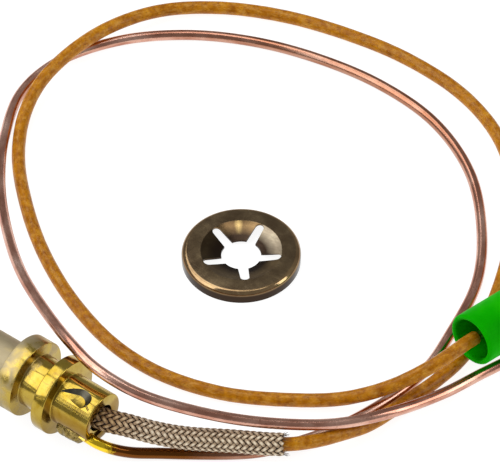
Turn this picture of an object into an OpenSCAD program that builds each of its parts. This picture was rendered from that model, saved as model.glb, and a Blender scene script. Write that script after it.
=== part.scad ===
// Flame-sensing thermocouple: a turned brass head, a hot probe, two free leads and a push-on star washer.
// +X runs along the head's axis from the hot tip towards the leads, and +Z is up.
// The origin lies on that axis, in the seat face of the front flange. All sizes are in millimetres.

/* [Head flanges] */
// Diameter of both flanges
flange_d = 10; // [9.4:0.1:12]
// Thickness of the front flange
flange_front_t = 2.4; // [1.6:0.1:2.8]
// Thickness of the rear flange
flange_rear_t = 1.7; // [1:0.1:2]
// Width of the groove between the flanges
groove_w = 3.2; // [2:0.1:3.9]
// Diameter of the hub at the bottom of the groove
hub_d = 6.9; // [6:0.1:8.4]
// Chamfer on the flanges' rims
rim_chamfer = 0.2; // [0.05:0.05:0.4]

/* [Head barrel] */
// Diameter of the front barrel
barrel_d = 6.2; // [6:0.1:9.2]
// Length of the front barrel, ahead of the seat face
barrel_len = 9; // [7:0.1:14]
// Wall of the front spigot, which takes the star washer and holds the sheath
spigot_wall = 0.6; // [0.4:0.05:0.9]
// Length of the front spigot
spigot_len = 6; // [4:0.1:9]

/* [Head rear] */
// Diameter of the rear barrel
rear_d = 6.6; // [6.4:0.1:8]
// Length of the rear barrel, behind the rear flange
rear_len = 5.5; // [4.5:0.1:7.5]
// Diameter of the bore that runs forward from the rear end
rear_bore_d = 3.6; // [3.4:0.05:3.7]
// Length of the open stake slot in the rear end
slot_len = 1.3; // [0.8:0.1:2]
// Gap on each side of the copper wire in the open slot, filled with braze
slot_side = 0.25; // [0.15:0.05:0.4]
// Wall of the staked lug around the copper wire
lug_wall = 0.55; // [0.3:0.05:0.8]
// Depth of the pocket in the rear bore's mouth
pocket_depth = 0.6; // [0.3:0.1:1]
// Depth of the crimp mark at its shallow front end
crimp_depth = 0.35; // [0.2:0.05:0.45]
// Radius of the crimp mark's floor
crimp_r = 1.1; // [0.8:0.1:1.2]

/* [Probe] */
// Outer diameter of the probe's sheath
sheath_d = 4; // [3.8:0.1:4.2]
// Wall of the sheath
sheath_wall = 0.4; // [0.25:0.05:0.5]
// Length of the sheath that stands out of the head
sheath_len = 22; // [15:0.5:35]
// Length of the sheath inside the spigot
sheath_in = 5.5; // [3:0.1:5.9]
// Diameter of the element wire
element_d = 1.2; // [0.8:0.05:1.3]
// Height of the weld bead on the hot tip
bead_h = 0.8; // [0.4:0.1:1.5]

/* [Cold junction] */
// Gap between the rear bore and the insulating tube over the ferrule
liner_gap = 0.12; // [0.05:0.01:0.2]
// Length of the crimp ferrule
ferrule_len = 6; // [4:0.1:7]
// Depth that each wire goes into the ferrule
ferrule_grip = 2.8; // [1.5:0.1:3.4]
// Wall of the insulating tube over the ferrule
liner_wall = 0.4; // [0.2:0.05:0.45]
// Length of the packing ring in the rear bore
packing_len = 3; // [1:0.1:3.4]

/* [Leads] */
// Diameter of the bare copper lead
copper_d = 1.4; // [1.2:0.05:1.5]
// Diameter of the insulated lead
lead_d = 1.75; // [1.5:0.05:1.75]
// Diameter of the copper core inside the insulated lead
core_d = 1; // [0.7:0.05:1.2]
// Outer diameter of the glass-fibre braid
braid_d = 2.9; // [2.6:0.05:3]
// Gap between the insulated lead and the braid
braid_gap = 0.08; // [0.04:0.02:0.15]

/* [Green sleeve] */
// Outer diameter of the soft sleeve
sleeve_d = 6.9; // [6:0.1:7.2]
// Wall of the soft sleeve
sleeve_wall = 0.7; // [0.4:0.05:0.8]
// Length of the soft sleeve
sleeve_len = 21; // [18:0.5:30]

/* [Terminals] */
// Thickness of the terminals' strip
strip_t = 0.35; // [0.25:0.05:0.4]
// Width of the blade that the insulated lead's terminal takes
small_blade_w = 2.8; // [2.4:0.1:3]
// Width of the blade that the copper lead's terminal takes
large_blade_w = 4.8; // [4.2:0.1:6.3]
// Thickness of both blades
blade_t = 0.8; // [0.5:0.1:0.8]
// Length of the terminals' rolled body
terminal_len = 6.4; // [5:0.1:7]
// Length of the terminals' wire crimp
crimp_len = 3.4; // [2.5:0.1:4]

/* [Star washer] */
// Outer diameter of the star washer
washer_d = 15.2; // [14:0.1:17]
// Height of the star washer
washer_h = 1.7; // [1.4:0.05:2.1]
// Thickness of the star washer's strip
washer_t = 0.3; // [0.2:0.05:0.35]
// Diameter across the tips of the teeth
tooth_circle_d = 5.1; // [4.6:0.1:5.4]
// Diameter at which the teeth start to dish
dish_d = 10.4; // [9.4:0.1:11]
// Depth of the dished teeth
dish_depth = 0.9; // [0.4:0.05:0.95]
// Width of a slot at its outer end
slot_outer_w = 1.15; // [0.6:0.05:1.4]
// Width of a slot at the tips of the teeth
slot_inner_w = 1.3; // [0.8:0.05:1.6]

/* [Hidden] */
$fn = 64;
eps = 0.01;                      // overshoot of a cut past a face
fit_gap = 0.03;                  // radial gap of a pushed-in piece
wire_gap = 0.05;                 // radial gap around a faceted wire
cord_sides = 8;
floor_z = -flange_d / 2;         // the surface that the thermocouple lies on

// Stations along the head's axis
hub_x = flange_front_t;
rear_flange_x = hub_x + groove_w;
rear_x = rear_flange_x + flange_rear_t;
end_x = rear_x + rear_len;
spigot_x = -barrel_len;
front_x = spigot_x - spigot_len;
sheath_tail_x = front_x + sheath_in;
tip_x = front_x - sheath_len;
sheath_bore_d = sheath_d - 2 * sheath_wall;
spigot_d = sheath_d + 2 * spigot_wall;
narrow_bore_d = min(sheath_bore_d, rear_bore_d);   // the barrel insulator runs through both bores

// The copper lead is staked in the rear barrel's wall, beside the bore
stake_angle = -49.2;             // turn of the stake about the head's axis, from straight down
stake_web = 0.4;                 // wall left between the bore and the copper lead
stake_r = rear_bore_d / 2 + stake_web + copper_d / 2;
stake_y = stake_r * sin(stake_angle);
stake_z = -stake_r * cos(stake_angle);
lug_x = end_x - slot_len;
slot_w = copper_d + 2 * slot_side;

// Heights of a lead that lies on the surface, and how far its crossings grow with the sizes
rest_gap = 0.025;
lead_rest_z = floor_z + lead_d / 2 + rest_gap;
copper_rest_z = floor_z + copper_d / 2;
terminal_rest_z = copper_rest_z + wire_gap + strip_t;
sleeve_rest_z = floor_z + lead_d + sleeve_d / 2;
plan_flange_d = 10;
plan_wires_d = 3.15;
plan_braid_d = 4.3;
lift = max(flange_d / plan_flange_d, (lead_d + copper_d) / plan_wires_d, (braid_d + copper_d) / plan_braid_d);

// Where the leads lie: x from the head's rear end, y, and height above the lead's own resting height
lead_plan = [
    [2.8, 1.2, 3.7], [5.8, 2.9, 2.8], [8.8, 4.8, 2.2], [13.3, 7.8, 2],
    [19, 11.3, 2.1], [21.4, 14.2, 1.7], [23.1, 17.7, 1], [24.4, 21.3, 0.2],
    [25.7, 27, 0], [26.8, 32.3, 0], [27.1, 38, 0], [25.1, 47, 0],
    [21, 57, 0], [16.1, 65, 0], [9.3, 71.6, 0], [0.8, 75.5, 0],
    [-9.2, 76.7, 0], [-18.7, 75.7, 0], [-27.7, 73.3, 0], [-35.2, 69.3, 0.2],
    [-40.7, 63.8, 0.7], [-43.6, 57, 1.4], [-44.7, 50, 1.7], [-44.6, 43, 1.3],
    [-43, 37.5, 0.5], [-39, 31.3, 0], [-32.7, 25.2, 0], [-25.5, 19.9, 0],
    [-17.2, 15.6, 0], [-8.7, 13, 0], [-1.2, 12.7, 0], [6.8, 14.7, 0],
    [13.8, 18.5, 0.1], [19.8, 22.4, 0.9], [24.1, 26.4, 2.5], [26.8, 31, 3.8]
];
copper_plan = [
    [2.3, -1.3, 1.5], [4, 0.3, 0.5], [6.3, 2.3, 0.1], [15.8, 9.7, 0],
    [19.1, 14.4, 0], [21.7, 19.5, 0], [23.8, 26.5, 0], [24.6, 33, 0],
    [23.6, 40, 0], [21.3, 49, 0], [16.3, 57.3, 0], [9.3, 64.6, 0],
    [0.3, 69.3, 0], [-9.2, 70.7, 0], [-18.7, 69.8, 0], [-27.7, 67.2, 0],
    [-35.7, 62.8, 0], [-42.2, 56.5, 0], [-46.2, 48.5, 0], [-46.4, 41, 0],
    [-42.8, 33.2, 0.5], [-37.8, 26.2, 1.7], [-31.2, 19.2, 3.5], [-22.2, 11.6, 6.2],
    [-14.4, 7, 7.9], [-7.7, 3.9, 9.1], [-2.8, 2.6, 9.1], [3.3, 3.3, 8],
    [10.8, 7.4, 5.7], [16.8, 11.8, 4.2], [22.3, 17, 3.1], [25.8, 22.2, 2.4],
    [28.8, 30.8, 0.5], [30.8, 37.5, 0], [33.1, 42.7, 0.1]
];
function laid(plan, rest_z) = [for (p = plan) [end_x + p.x, p.y, rest_z + p.z * lift]];

// The insulated lead starts ahead of the rear bore's packing, on the axis, and ends inside the sleeve
lead_in_bore = 7.6;
lead_route = concat(
    [[end_x - lead_in_bore, 0, 0], [end_x + 0.2, 0, 0]],
    laid(lead_plan, lead_rest_z),
    [[end_x + 28.3, 36.5, sleeve_rest_z], [end_x + 28.65, 38.25, sleeve_rest_z - 0.14]]
);
braid_points = 7;                // the braid covers the lead's first points

// The copper lead starts in the stake and ends in its terminal, which lies on the surface
copper_route = concat(
    [[end_x - 4.2, stake_y, stake_z], [end_x - 0.8, stake_y, stake_z]],
    [[end_x + 0.8, stake_y + 0.1, stake_z - 0.2]],
    laid(copper_plan, copper_rest_z),
    [[end_x + 36.8, 47, terminal_rest_z], [end_x + 39.1, 49.6, terminal_rest_z]]
);
lead_start_x = lead_route[0].x;
ferrule_tail = 0.4;              // bare core between the ferrule and the insulation
core_in_len = ferrule_grip + ferrule_tail;
core_out_len = 8;                // bare core beyond the insulation, inside the sleeve
ferrule_x1 = lead_start_x - ferrule_tail;
ferrule_x0 = ferrule_x1 - ferrule_len;
ferrule_web = ferrule_len - 2 * ferrule_grip;
element_tail_x = ferrule_x0 + ferrule_grip;
liner_outer_d = rear_bore_d - 2 * liner_gap;
liner_d = liner_outer_d - 2 * liner_wall;
ferrule_d = liner_d - 2 * fit_gap;
packing_recess = 3.7;            // depth of the packing ring below the rear end
packing_x0 = end_x - packing_recess - packing_len;
tip_room = 1;                    // gap between the dome and the tip insulator
insulator_split = 1;             // depth in the spigot at which the two insulators meet
insulator_split_x = front_x + insulator_split;

// The sleeve and its terminal follow the insulated lead's last stretch
lead_last = len(lead_route) - 1;
copper_last = len(copper_route) - 1;
washer_pos = [end_x - 5.35, 34.9, floor_z];
washer_turn = 25;                // turn of the first slot about the washer's axis
washer_slots = 5;

// Lay a Z-axis solid along X
module along_x(x = 0) {
    translate([x, 0, 0])
    rotate([0, 90, 0])
        children();
}

// Put a solid that points along +X at the start of a stretch, pointing along the stretch
module along_stretch(from, to) {
    run = to - from;
    translate(from)
    rotate([0, -atan2(run.z, norm([run.x, run.y])), atan2(run.y, run.x)])
        children();
}

module tube(outer_d, inner_d, length) {
    difference() {
        cylinder(d = outer_d, h = length);
        translate([0, 0, -eps])
            cylinder(d = inner_d, h = length + 2 * eps);
    }
}

// Direction of a route at one of its points, and a ring of points around it
function unit(v) = v / norm(v);
function heading(route, i) = unit(route[min(i + 1, len(route) - 1)] - route[max(i - 1, 0)]);
function ring(route, i, r) =
    let (t = heading(route, i), side = unit(cross([0, 0, 1], t)), up = cross(t, side))
    [for (k = [0 : cord_sides - 1])
        let (a = 360 * k / cord_sides) route[i] + r * (cos(a) * side + sin(a) * up)];
function rings(route, r) = [for (i = [0 : len(route) - 1]) each ring(route, i, r)];
function skin(count, first, flip) = [
    for (i = [0 : count - 2], k = [0 : cord_sides - 1])
        let (a = first + i * cord_sides + k,
             b = first + i * cord_sides + (k + 1) % cord_sides,
             quad = [a, a + cord_sides, b + cord_sides, b])
        flip ? [quad[3], quad[2], quad[1], quad[0]] : quad
];
function cap(first) = [for (k = [0 : cord_sides - 1]) first + k];
function washer_cap(outer, inner, flip) = [
    for (k = [0 : cord_sides - 1])
        let (n = (k + 1) % cord_sides, quad = [outer + k, outer + n, inner + n, inner + k])
        flip ? [quad[3], quad[2], quad[1], quad[0]] : quad
];
function reversed(list) = [for (i = [len(list) - 1 : -1 : 0]) list[i]];

// A solid cord through every point of a route
module cord(route, d) {
    last = (len(route) - 1) * cord_sides;
    polyhedron(
        points = rings(route, d / 2),
        faces = concat(skin(len(route), 0, false), [cap(0)], [reversed(cap(last))]),
        convexity = 10
    );
}

// A hollow cord, open at both ends
module hollow_cord(route, outer_d, inner_d) {
    count = len(route);
    inner = count * cord_sides;
    last = (count - 1) * cord_sides;
    polyhedron(
        points = concat(rings(route, outer_d / 2), rings(route, inner_d / 2)),
        faces = concat(
            skin(count, 0, false),
            skin(count, inner, true),
            washer_cap(0, inner, false),
            washer_cap(last, inner + last, true)
        ),
        convexity = 10
    );
}

// Thin tube closed by a dome, with the element wire's hole in the dome
module probe_sheath() {
    dome_r = sheath_d / 2;
    color("lightslategray")
    along_x(tip_x)
    difference() {
        union() {
            translate([0, 0, dome_r])
                cylinder(d = sheath_d, h = sheath_tail_x - tip_x - dome_r);
            translate([0, 0, dome_r])
                sphere(r = dome_r);
        }
        translate([0, 0, dome_r])
            cylinder(d = sheath_bore_d, h = sheath_tail_x - tip_x);
        translate([0, 0, dome_r])
            sphere(d = sheath_bore_d);
        translate([0, 0, -eps])
            cylinder(d = element_d + 2 * fit_gap, h = dome_r);
    }
}

// Bead that welds the element wire to the dome, with a half-oval outside the dome
module tip_weld_bead() {
    bead_r = element_d / 2 + fit_gap;
    crown = [for (a = [0 : 15 : 90]) [bead_r * sin(a), -bead_h * cos(a)]];
    color("dimgray")
    along_x(tip_x)
    rotate_extrude()
        polygon(concat(crown, [[bead_r, sheath_wall - eps], [0, sheath_wall - eps]]));
}

module element_wire() {
    x0 = tip_x + sheath_wall;
    color("silver")
    along_x(x0)
        cylinder(d = element_d, h = element_tail_x - x0);
}

module tip_insulator() {
    x0 = tip_x + sheath_d / 2 + tip_room;
    color("white")
    along_x(x0)
        tube(sheath_bore_d - 2 * fit_gap, element_d + 2 * fit_gap, insulator_split_x - x0);
}

module barrel_insulator() {
    x0 = insulator_split_x;
    color("wheat")
    along_x(x0)
        tube(narrow_bore_d - 2 * fit_gap, element_d + 2 * fit_gap, ferrule_x0 - x0);
}

// Fillet of braze where the sheath enters the spigot
module sheath_braze_ring() {
    rim = 0.1;                   // flat left between the fillet and the spigot's edge
    leg = spigot_wall - rim;
    hollow = 0.35;               // share of the leg at which the fillet's hollow lies
    color("goldenrod")
    along_x(front_x)
    rotate_extrude()
    polygon([
        [sheath_d / 2, 0], [sheath_d / 2 + leg, 0],
        [sheath_d / 2 + hollow * leg, -hollow * leg], [sheath_d / 2, -leg]
    ]);
}

// Outline of the turned head, radius against station
function head_outline() = [
    [sheath_d / 2 + fit_gap, front_x],
    [spigot_d / 2 - rim_chamfer, front_x], [spigot_d / 2, front_x + rim_chamfer],
    [spigot_d / 2, spigot_x],
    [barrel_d / 2 - rim_chamfer, spigot_x], [barrel_d / 2, spigot_x + rim_chamfer],
    [barrel_d / 2, 0],
    [flange_d / 2 - rim_chamfer, 0], [flange_d / 2, rim_chamfer],
    [flange_d / 2, hub_x - rim_chamfer], [flange_d / 2 - rim_chamfer, hub_x],
    [hub_d / 2, hub_x], [hub_d / 2, rear_flange_x],
    [flange_d / 2 - rim_chamfer, rear_flange_x], [flange_d / 2, rear_flange_x + rim_chamfer],
    [flange_d / 2, rear_x - rim_chamfer], [flange_d / 2 - rim_chamfer, rear_x],
    [rear_d / 2, rear_x],
    [rear_d / 2, end_x - rim_chamfer], [rear_d / 2 - rim_chamfer, end_x],
    [rear_bore_d / 2, end_x], [rear_bore_d / 2, sheath_tail_x],
    [sheath_d / 2 + fit_gap, sheath_tail_x]
];

// The copper lead lies in a slot of the rear barrel's wall, under a staked lug
module head_body() {
    wire_hole_d = copper_d + 2 * wire_gap;
    lug_d = wire_hole_d + 2 * lug_wall;
    lug_root = 0.1;              // depth of the lug in the rear barrel's wall
    color("goldenrod")
    difference() {
        union() {
            along_x()
                rotate_extrude()
                    polygon(head_outline());
            difference() {
                translate([0, stake_y, stake_z])
                along_x(rear_x - eps)
                    cylinder(d = lug_d, h = lug_x - rear_x);
                along_x(rear_flange_x)
                    cylinder(d = rear_d - 2 * lug_root, h = flange_rear_t + rear_len);
            }
        }
        translate([copper_route[0].x - wire_gap, stake_y, stake_z])
        along_x()
            cylinder(d = wire_hole_d, h = end_x);
        rotate([stake_angle, 0, 0])
        translate([lug_x, -slot_w / 2, -rear_d])
            cube([slot_len + eps, slot_w, rear_d]);
        crimp_mark();
        mouth_pocket();
    }
}

// Pocket that widens the rear bore's mouth towards the stake
module mouth_pocket() {
    pocket_shift = 0.8;
    pocket_turn = -60;           // turn of the pocket about the head's axis, from straight down
    rotate([pocket_turn, 0, 0])
    translate([0, 0, -pocket_shift])
    along_x(end_x - pocket_depth)
        cylinder(d = rear_bore_d, h = pocket_depth + eps);
}

// Flat-floored scoop left by the crimping punch, with sloping walls, deeper towards the end face
module crimp_mark() {
    crimp_lean = 6;              // slope of the floor
    deep_end = [2.85, -1.65];    // the scoop's two ends, from the rear flange and from the axis
    shallow_end = [0.1, -2.9];
    wall_h = 2;                  // height and spread of the 45 degree wall
    flange_gap = 0.25;           // wall kept between the mark and the rear flange
    intersection() {
        translate([rear_x, 0, rear_d / 2 - crimp_depth])
        rotate([0, crimp_lean, 0])
        hull() {
            for (end = [deep_end, shallow_end])
                translate([end[0], end[1], 0])
                    cylinder(r1 = crimp_r, r2 = crimp_r + wall_h, h = wall_h);
        }
        along_x(rear_x + flange_gap)
            cylinder(d = flange_d, h = rear_len);
    }
}

// Crimped sleeve that joins the element wire to the lead's core
module junction_ferrule() {
    color("silver")
    along_x(ferrule_x0)
    difference() {
        cylinder(d = ferrule_d, h = ferrule_len);
        translate([0, 0, -eps])
            cylinder(d = element_d + 2 * fit_gap, h = ferrule_grip + eps);
        translate([0, 0, ferrule_grip + ferrule_web])
            cylinder(d = core_d + 2 * fit_gap, h = ferrule_grip + eps);
    }
}

module junction_liner() {
    color("ivory")
    along_x(ferrule_x0)
        tube(liner_outer_d, liner_d, ferrule_len);
}

module rear_packing() {
    color("whitesmoke")
    along_x(packing_x0)
        tube(rear_bore_d - 2 * fit_gap, braid_d + 2 * fit_gap, packing_len);
}

module braided_sleeve() {
    covered = [for (i = [0 : braid_points - 1]) lead_route[i]];
    color("tan")
        hollow_cord(covered, braid_d, lead_d + 2 * braid_gap);
}

module insulated_lead() {
    color("darkorange")
        cord(lead_route, lead_d);
}

// The two bare ends of the insulated lead's core
module lead_core() {
    color("peru") {
        along_x(lead_start_x - core_in_len)
            cylinder(d = core_d, h = core_in_len);
        along_stretch(lead_route[lead_last], lead_route[lead_last] * 2 - lead_route[lead_last - 1])
            along_x()
                cylinder(d = core_d, h = core_out_len);
    }
}

module bare_copper_lead() {
    color("sienna")
        cord(copper_route, copper_d);
}

// Braze that fills the open slot around the copper lead
module slot_braze() {
    hold = 0.02;                 // gap between the braze and each wall of the slot
    setback = 0.3;               // depth of the braze below the rear end
    crown = 0.2;                 // height of the braze above the rear barrel
    bore_rim = 0.1;              // wall kept between the braze and the bore
    color("gold")
    difference() {
        intersection() {
            rotate([stake_angle, 0, 0])
            translate([lug_x + hold, -slot_w / 2 + hold, -rear_d])
                cube([slot_len - hold - setback, slot_w - 2 * hold, rear_d]);
            along_x(lug_x)
                tube(rear_d + 2 * crown, rear_bore_d + 2 * bore_rim, slot_len);
        }
        translate([lug_x, stake_y, stake_z])
        along_x()
            cylinder(d = copper_d + 2 * wire_gap, h = slot_len);
    }
}

// Soft tube with round lips, drawn from the mouth along +X
module green_sleeve() {
    lip = sleeve_wall / 2;
    mouth_gap = 0.6;             // distance of the mouth from the start of the lead's last stretch
    mid_r = sleeve_d / 2 - lip;
    color("limegreen")
    along_stretch(lead_route[lead_last - 1], lead_route[lead_last])
    along_x(mouth_gap)
    rotate_extrude() {
        translate([mid_r - lip, lip])
            square([sleeve_wall, sleeve_len - 2 * lip]);
        translate([mid_r, lip])
            circle(r = lip);
        translate([mid_r, sleeve_len - lip])
            circle(r = lip);
    }
}

// Rolled receptacle for a flat blade: a wire crimp, a neck and a body whose edges curl over the blade
module receptacle(blade_w, wire_d) {
    neck_len = 1.6;
    neck_w = 1.6;
    neck_lap = 0.3;              // overlap of the neck with the crimp and the body
    side_gap = 0.1;              // gap between the blade's edge and the body
    curl_eye = 0.3;              // open eye in each rolled edge
    curl_gap = 0.8;              // gap between the two rolled edges
    body_w = blade_w + 2 * strip_t + 2 * side_gap;
    curl = 2 * strip_t + curl_eye;
    body_h = strip_t + blade_t + curl;
    crimp_d = wire_d + 2 * wire_gap + 2 * strip_t;
    base = -crimp_d / 2;
    along_x()
        tube(crimp_d, wire_d + 2 * wire_gap, crimp_len);
    translate([crimp_len - neck_lap, -neck_w / 2, base])
        cube([neck_len + 2 * neck_lap, neck_w, strip_t]);
    translate([crimp_len + neck_len, 0, base])
    rotate([90, 0, 90])
    linear_extrude(terminal_len)
    difference() {
        translate([-body_w / 2, 0])
            square([body_w, body_h]);
        translate([-blade_w / 2 - side_gap, strip_t])
            square([blade_w + 2 * side_gap, blade_t]);
        translate([-curl_gap / 2, strip_t])
            square([curl_gap, body_h]);
        for (side = [-1, 1])
            translate([side * (body_w - curl) / 2, strip_t + blade_t + curl / 2])
                circle(d = curl_eye, $fn = 32);
    }
}

module lead_terminal() {
    core_short = 0.4;            // the core ends this far inside the crimp
    start = core_out_len - crimp_len + core_short;
    color("khaki")
    along_stretch(lead_route[lead_last], lead_route[lead_last] * 2 - lead_route[lead_last - 1])
    translate([start, 0, 0])
        receptacle(small_blade_w, core_d);
}

module copper_terminal() {
    color("khaki")
    along_stretch(copper_route[copper_last - 1], copper_route[copper_last])
        receptacle(large_blade_w, copper_d);
}

// Flat ring with a turned-down rim and five dished teeth, parted by round-ended slots
module star_washer() {
    shoulder = 0.7;
    rim_r = washer_d / 2;
    flat_r = rim_r - shoulder;
    bend = [for (a = [90 : -15 : 0]) [cos(a), sin(a)]];
    outer = [for (p = bend) [flat_r, washer_h - shoulder] + shoulder * p];
    inner = [for (p = reversed(bend)) [flat_r, washer_h - shoulder] + (shoulder - washer_t) * p];
    color("darkolivegreen")
    translate(washer_pos)
    rotate([0, 0, washer_turn])
    difference() {
        rotate_extrude()
        polygon(concat(
            [[tooth_circle_d / 2, washer_h - dish_depth], [dish_d / 2, washer_h]],
            outer,
            [[rim_r, 0], [rim_r - washer_t, 0]],
            inner,
            [[dish_d / 2, washer_h - washer_t],
             [tooth_circle_d / 2, washer_h - dish_depth - washer_t]]
        ));
        for (i = [0 : washer_slots - 1])
            rotate([0, 0, 360 * i / washer_slots])
            translate([0, 0, -eps])
            linear_extrude(washer_h + 1) {
                end_r = dish_d / 2 - slot_outer_w / 2;
                polygon([
                    [0, -slot_inner_w / 2], [tooth_circle_d / 2, -slot_inner_w / 2],
                    [end_r, -slot_outer_w / 2], [end_r, slot_outer_w / 2],
                    [tooth_circle_d / 2, slot_inner_w / 2], [0, slot_inner_w / 2]
                ]);
                translate([end_r, 0])
                    circle(d = slot_outer_w, $fn = 32);
            }
    }
}

probe_sheath();
tip_weld_bead();
element_wire();
tip_insulator();
barrel_insulator();
sheath_braze_ring();
head_body();
junction_ferrule();
junction_liner();
rear_packing();
braided_sleeve();
insulated_lead();
lead_core();
bare_copper_lead();
slot_braze();
green_sleeve();
lead_terminal();
copper_terminal();
star_washer();
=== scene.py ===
import math
import random

import bmesh
import bpy
import numpy as np
from mathutils import Matrix, Vector, noise


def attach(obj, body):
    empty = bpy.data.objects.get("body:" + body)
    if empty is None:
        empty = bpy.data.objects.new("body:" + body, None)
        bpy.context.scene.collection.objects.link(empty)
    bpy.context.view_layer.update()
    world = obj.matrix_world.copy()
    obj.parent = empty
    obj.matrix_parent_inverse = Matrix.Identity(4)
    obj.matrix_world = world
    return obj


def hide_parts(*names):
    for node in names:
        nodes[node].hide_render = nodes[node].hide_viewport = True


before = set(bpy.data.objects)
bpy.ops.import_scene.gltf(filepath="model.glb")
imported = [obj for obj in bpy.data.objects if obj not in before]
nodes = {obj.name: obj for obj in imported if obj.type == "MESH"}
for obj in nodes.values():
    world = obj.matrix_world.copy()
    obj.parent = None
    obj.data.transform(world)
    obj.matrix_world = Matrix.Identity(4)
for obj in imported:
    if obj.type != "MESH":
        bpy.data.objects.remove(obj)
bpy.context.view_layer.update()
mm = 0.001
floorZ = -5.0


# camera, in millimetres of the row frame
cameraSetup = {"place": (212.53, -235.40, 357.69), "aim": (5.40, 39.48, -5.0), "lens": 280.8}


def placeCamera():
    data = bpy.data.cameras.new("productCamera")
    data.lens = cameraSetup["lens"]
    data.sensor_width = 36
    data.clip_start = 0.05
    data.clip_end = 20
    camera = bpy.data.objects.new("productCamera", data)
    bpy.context.scene.collection.objects.link(camera)
    place, aim = Vector(cameraSetup["place"]) * mm, Vector(cameraSetup["aim"]) * mm
    camera.location = place
    camera.rotation_mode = "QUATERNION"
    camera.rotation_quaternion = (aim - place).to_track_quat("-Z", "Y")
    bpy.context.scene.camera = camera


placeCamera()
print("camera placed")


# shader helpers
def startMaterial(name, **values):
    material = bpy.data.materials.new(name)
    material.use_nodes = True
    shader = material.node_tree.nodes["Principled BSDF"]
    for key, value in values.items():
        socket = key.replace("_", " ").title().replace("Ior", "IOR")
        shader.inputs[socket].default_value = value
    return material, material.node_tree, shader


def addNode(tree, kind, links=None, **settings):
    node = tree.nodes.new("ShaderNode" + kind)
    for key, value in settings.items():
        setattr(node, key, value)
    for socket, source in (links or {}).items():
        tree.links.new(source, node.inputs[socket])
    return node


def objectSpace(tree, scale=(1000, 1000, 1000), place=(0, 0, 0), turn=(0, 0, 0)):
    # object coordinates in millimetres
    coordinates = addNode(tree, "TexCoord")
    mapping = addNode(tree, "Mapping", {"Vector": coordinates.outputs["Object"]})
    mapping.inputs["Scale"].default_value = scale
    mapping.inputs["Location"].default_value = place
    mapping.inputs["Rotation"].default_value = turn
    return mapping.outputs["Vector"]


def lengthSpace(tree, scale=(1, 1, 1)):
    # a cord's own map: millimetres along it, then the share of a turn round it
    coordinates = addNode(tree, "UVMap", uv_map="along")
    mapping = addNode(tree, "Mapping", {"Vector": coordinates.outputs["UV"]})
    mapping.inputs["Scale"].default_value = scale
    return mapping.outputs["Vector"]


def noiseAt(tree, vector, scale, detail, rough, twist=0.0):
    made = addNode(tree, "TexNoise", {"Vector": vector})
    made.inputs["Scale"].default_value = scale
    made.inputs["Detail"].default_value = detail
    made.inputs["Roughness"].default_value = rough
    made.inputs["Distortion"].default_value = twist
    return made.outputs["Fac"]


def rampOf(tree, source, stops, interpolation="LINEAR"):
    made = addNode(tree, "ValToRGB", {"Fac": source})
    ramp = made.color_ramp
    ramp.interpolation = interpolation
    while len(ramp.elements) < len(stops):
        ramp.elements.new(0.5)
    for element, (place, colour) in zip(ramp.elements, stops):
        element.position = place
        element.color = (*colour, 1)
    return made.outputs["Color"]


def splitOf(tree, vector):
    return addNode(tree, "SeparateXYZ", {"Vector": vector}).outputs


def mathOf(tree, operation, *sources):
    return addNode(tree, "Math", dict(enumerate(sources)), operation=operation).outputs[0]


def mixOf(tree, share, first, second, blend="MIX"):
    made = addNode(tree, "Mix", data_type="RGBA", blend_type=blend)
    for socket, value in ((0, share), (6, first), (7, second)):
        if hasattr(value, "is_output"):
            tree.links.new(value, made.inputs[socket])
        elif isinstance(value, (int, float)):
            made.inputs[socket].default_value = value
        else:
            made.inputs[socket].default_value = (*value, 1)
    return made.outputs[2]


def valueRange(tree, source, low, high, fromLow=0.0, fromHigh=1.0):
    made = addNode(tree, "MapRange", {"Value": source})
    for name, value in (("From Min", fromLow), ("From Max", fromHigh), ("To Min", low), ("To Max", high)):
        made.inputs[name].default_value = value
    return made.outputs["Result"]


def bumpOf(tree, height, strength, distance, below=None):
    made = addNode(tree, "Bump", {"Height": height})
    made.inputs["Strength"].default_value = strength
    made.inputs["Distance"].default_value = distance * mm
    if below is not None:
        tree.links.new(below, made.inputs["Normal"])
    return made.outputs["Normal"]


def joinUp(tree, shader, colour, roughness, normal):
    tree.links.new(colour, shader.inputs["Base Color"])
    tree.links.new(roughness, shader.inputs["Roughness"])
    tree.links.new(normal, shader.inputs["Normal"])


def plainFinish(name, low, high, scale, rough, metallic, bump, depth=0.03, detail=4, spread=(0.3, 0.7)):
    # one grain sets the colour, the roughness and the relief
    material, tree, shader = startMaterial(name, metallic=metallic)
    grain = noiseAt(tree, objectSpace(tree), scale, detail, 0.6)
    joinUp(tree, shader, rampOf(tree, grain, [(0.3, low), (0.7, high)]),
           valueRange(tree, grain, *rough, *spread), bumpOf(tree, grain, bump, depth))
    return material


# cord helpers: a smooth line through chosen points, and a flat grid wrapped round it
def smoothLine(points, step, radius):
    points = np.array(points, float)
    ends = np.vstack([2 * points[0] - points[1], points, 2 * points[-1] - points[-2]])
    found = []
    for i in range(1, len(ends) - 2):
        a, b, c, d = ends[i - 1:i + 3]
        ab, bc, cd = (max(np.linalg.norm(q - p) ** 0.5, 1e-6) for p, q in ((a, b), (b, c), (c, d)))
        leave = ((b - a) / ab - (c - a) / (ab + bc) + (c - b) / bc) * bc
        arrive = ((c - b) / bc - (d - b) / (bc + cd) + (d - c) / cd) * bc
        t = np.linspace(0, 1, 40, endpoint=False)[:, None]
        found.append((2 * t**3 - 3 * t**2 + 1) * b + (t**3 - 2 * t**2 + t) * leave
                     + (-2 * t**3 + 3 * t**2) * c + (t**3 - t**2) * arrive)
    line = np.vstack(found + [points[-1:]])
    line[:, 2] = np.maximum(line[:, 2], floorZ + radius)
    run = np.r_[0, np.cumsum(np.linalg.norm(np.diff(line, axis=0), axis=1))]
    even = np.linspace(0, run[-1], int(run[-1] / step) + 1)
    return np.stack([np.interp(even, run, line[:, k]) for k in range(3)], 1), even


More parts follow.
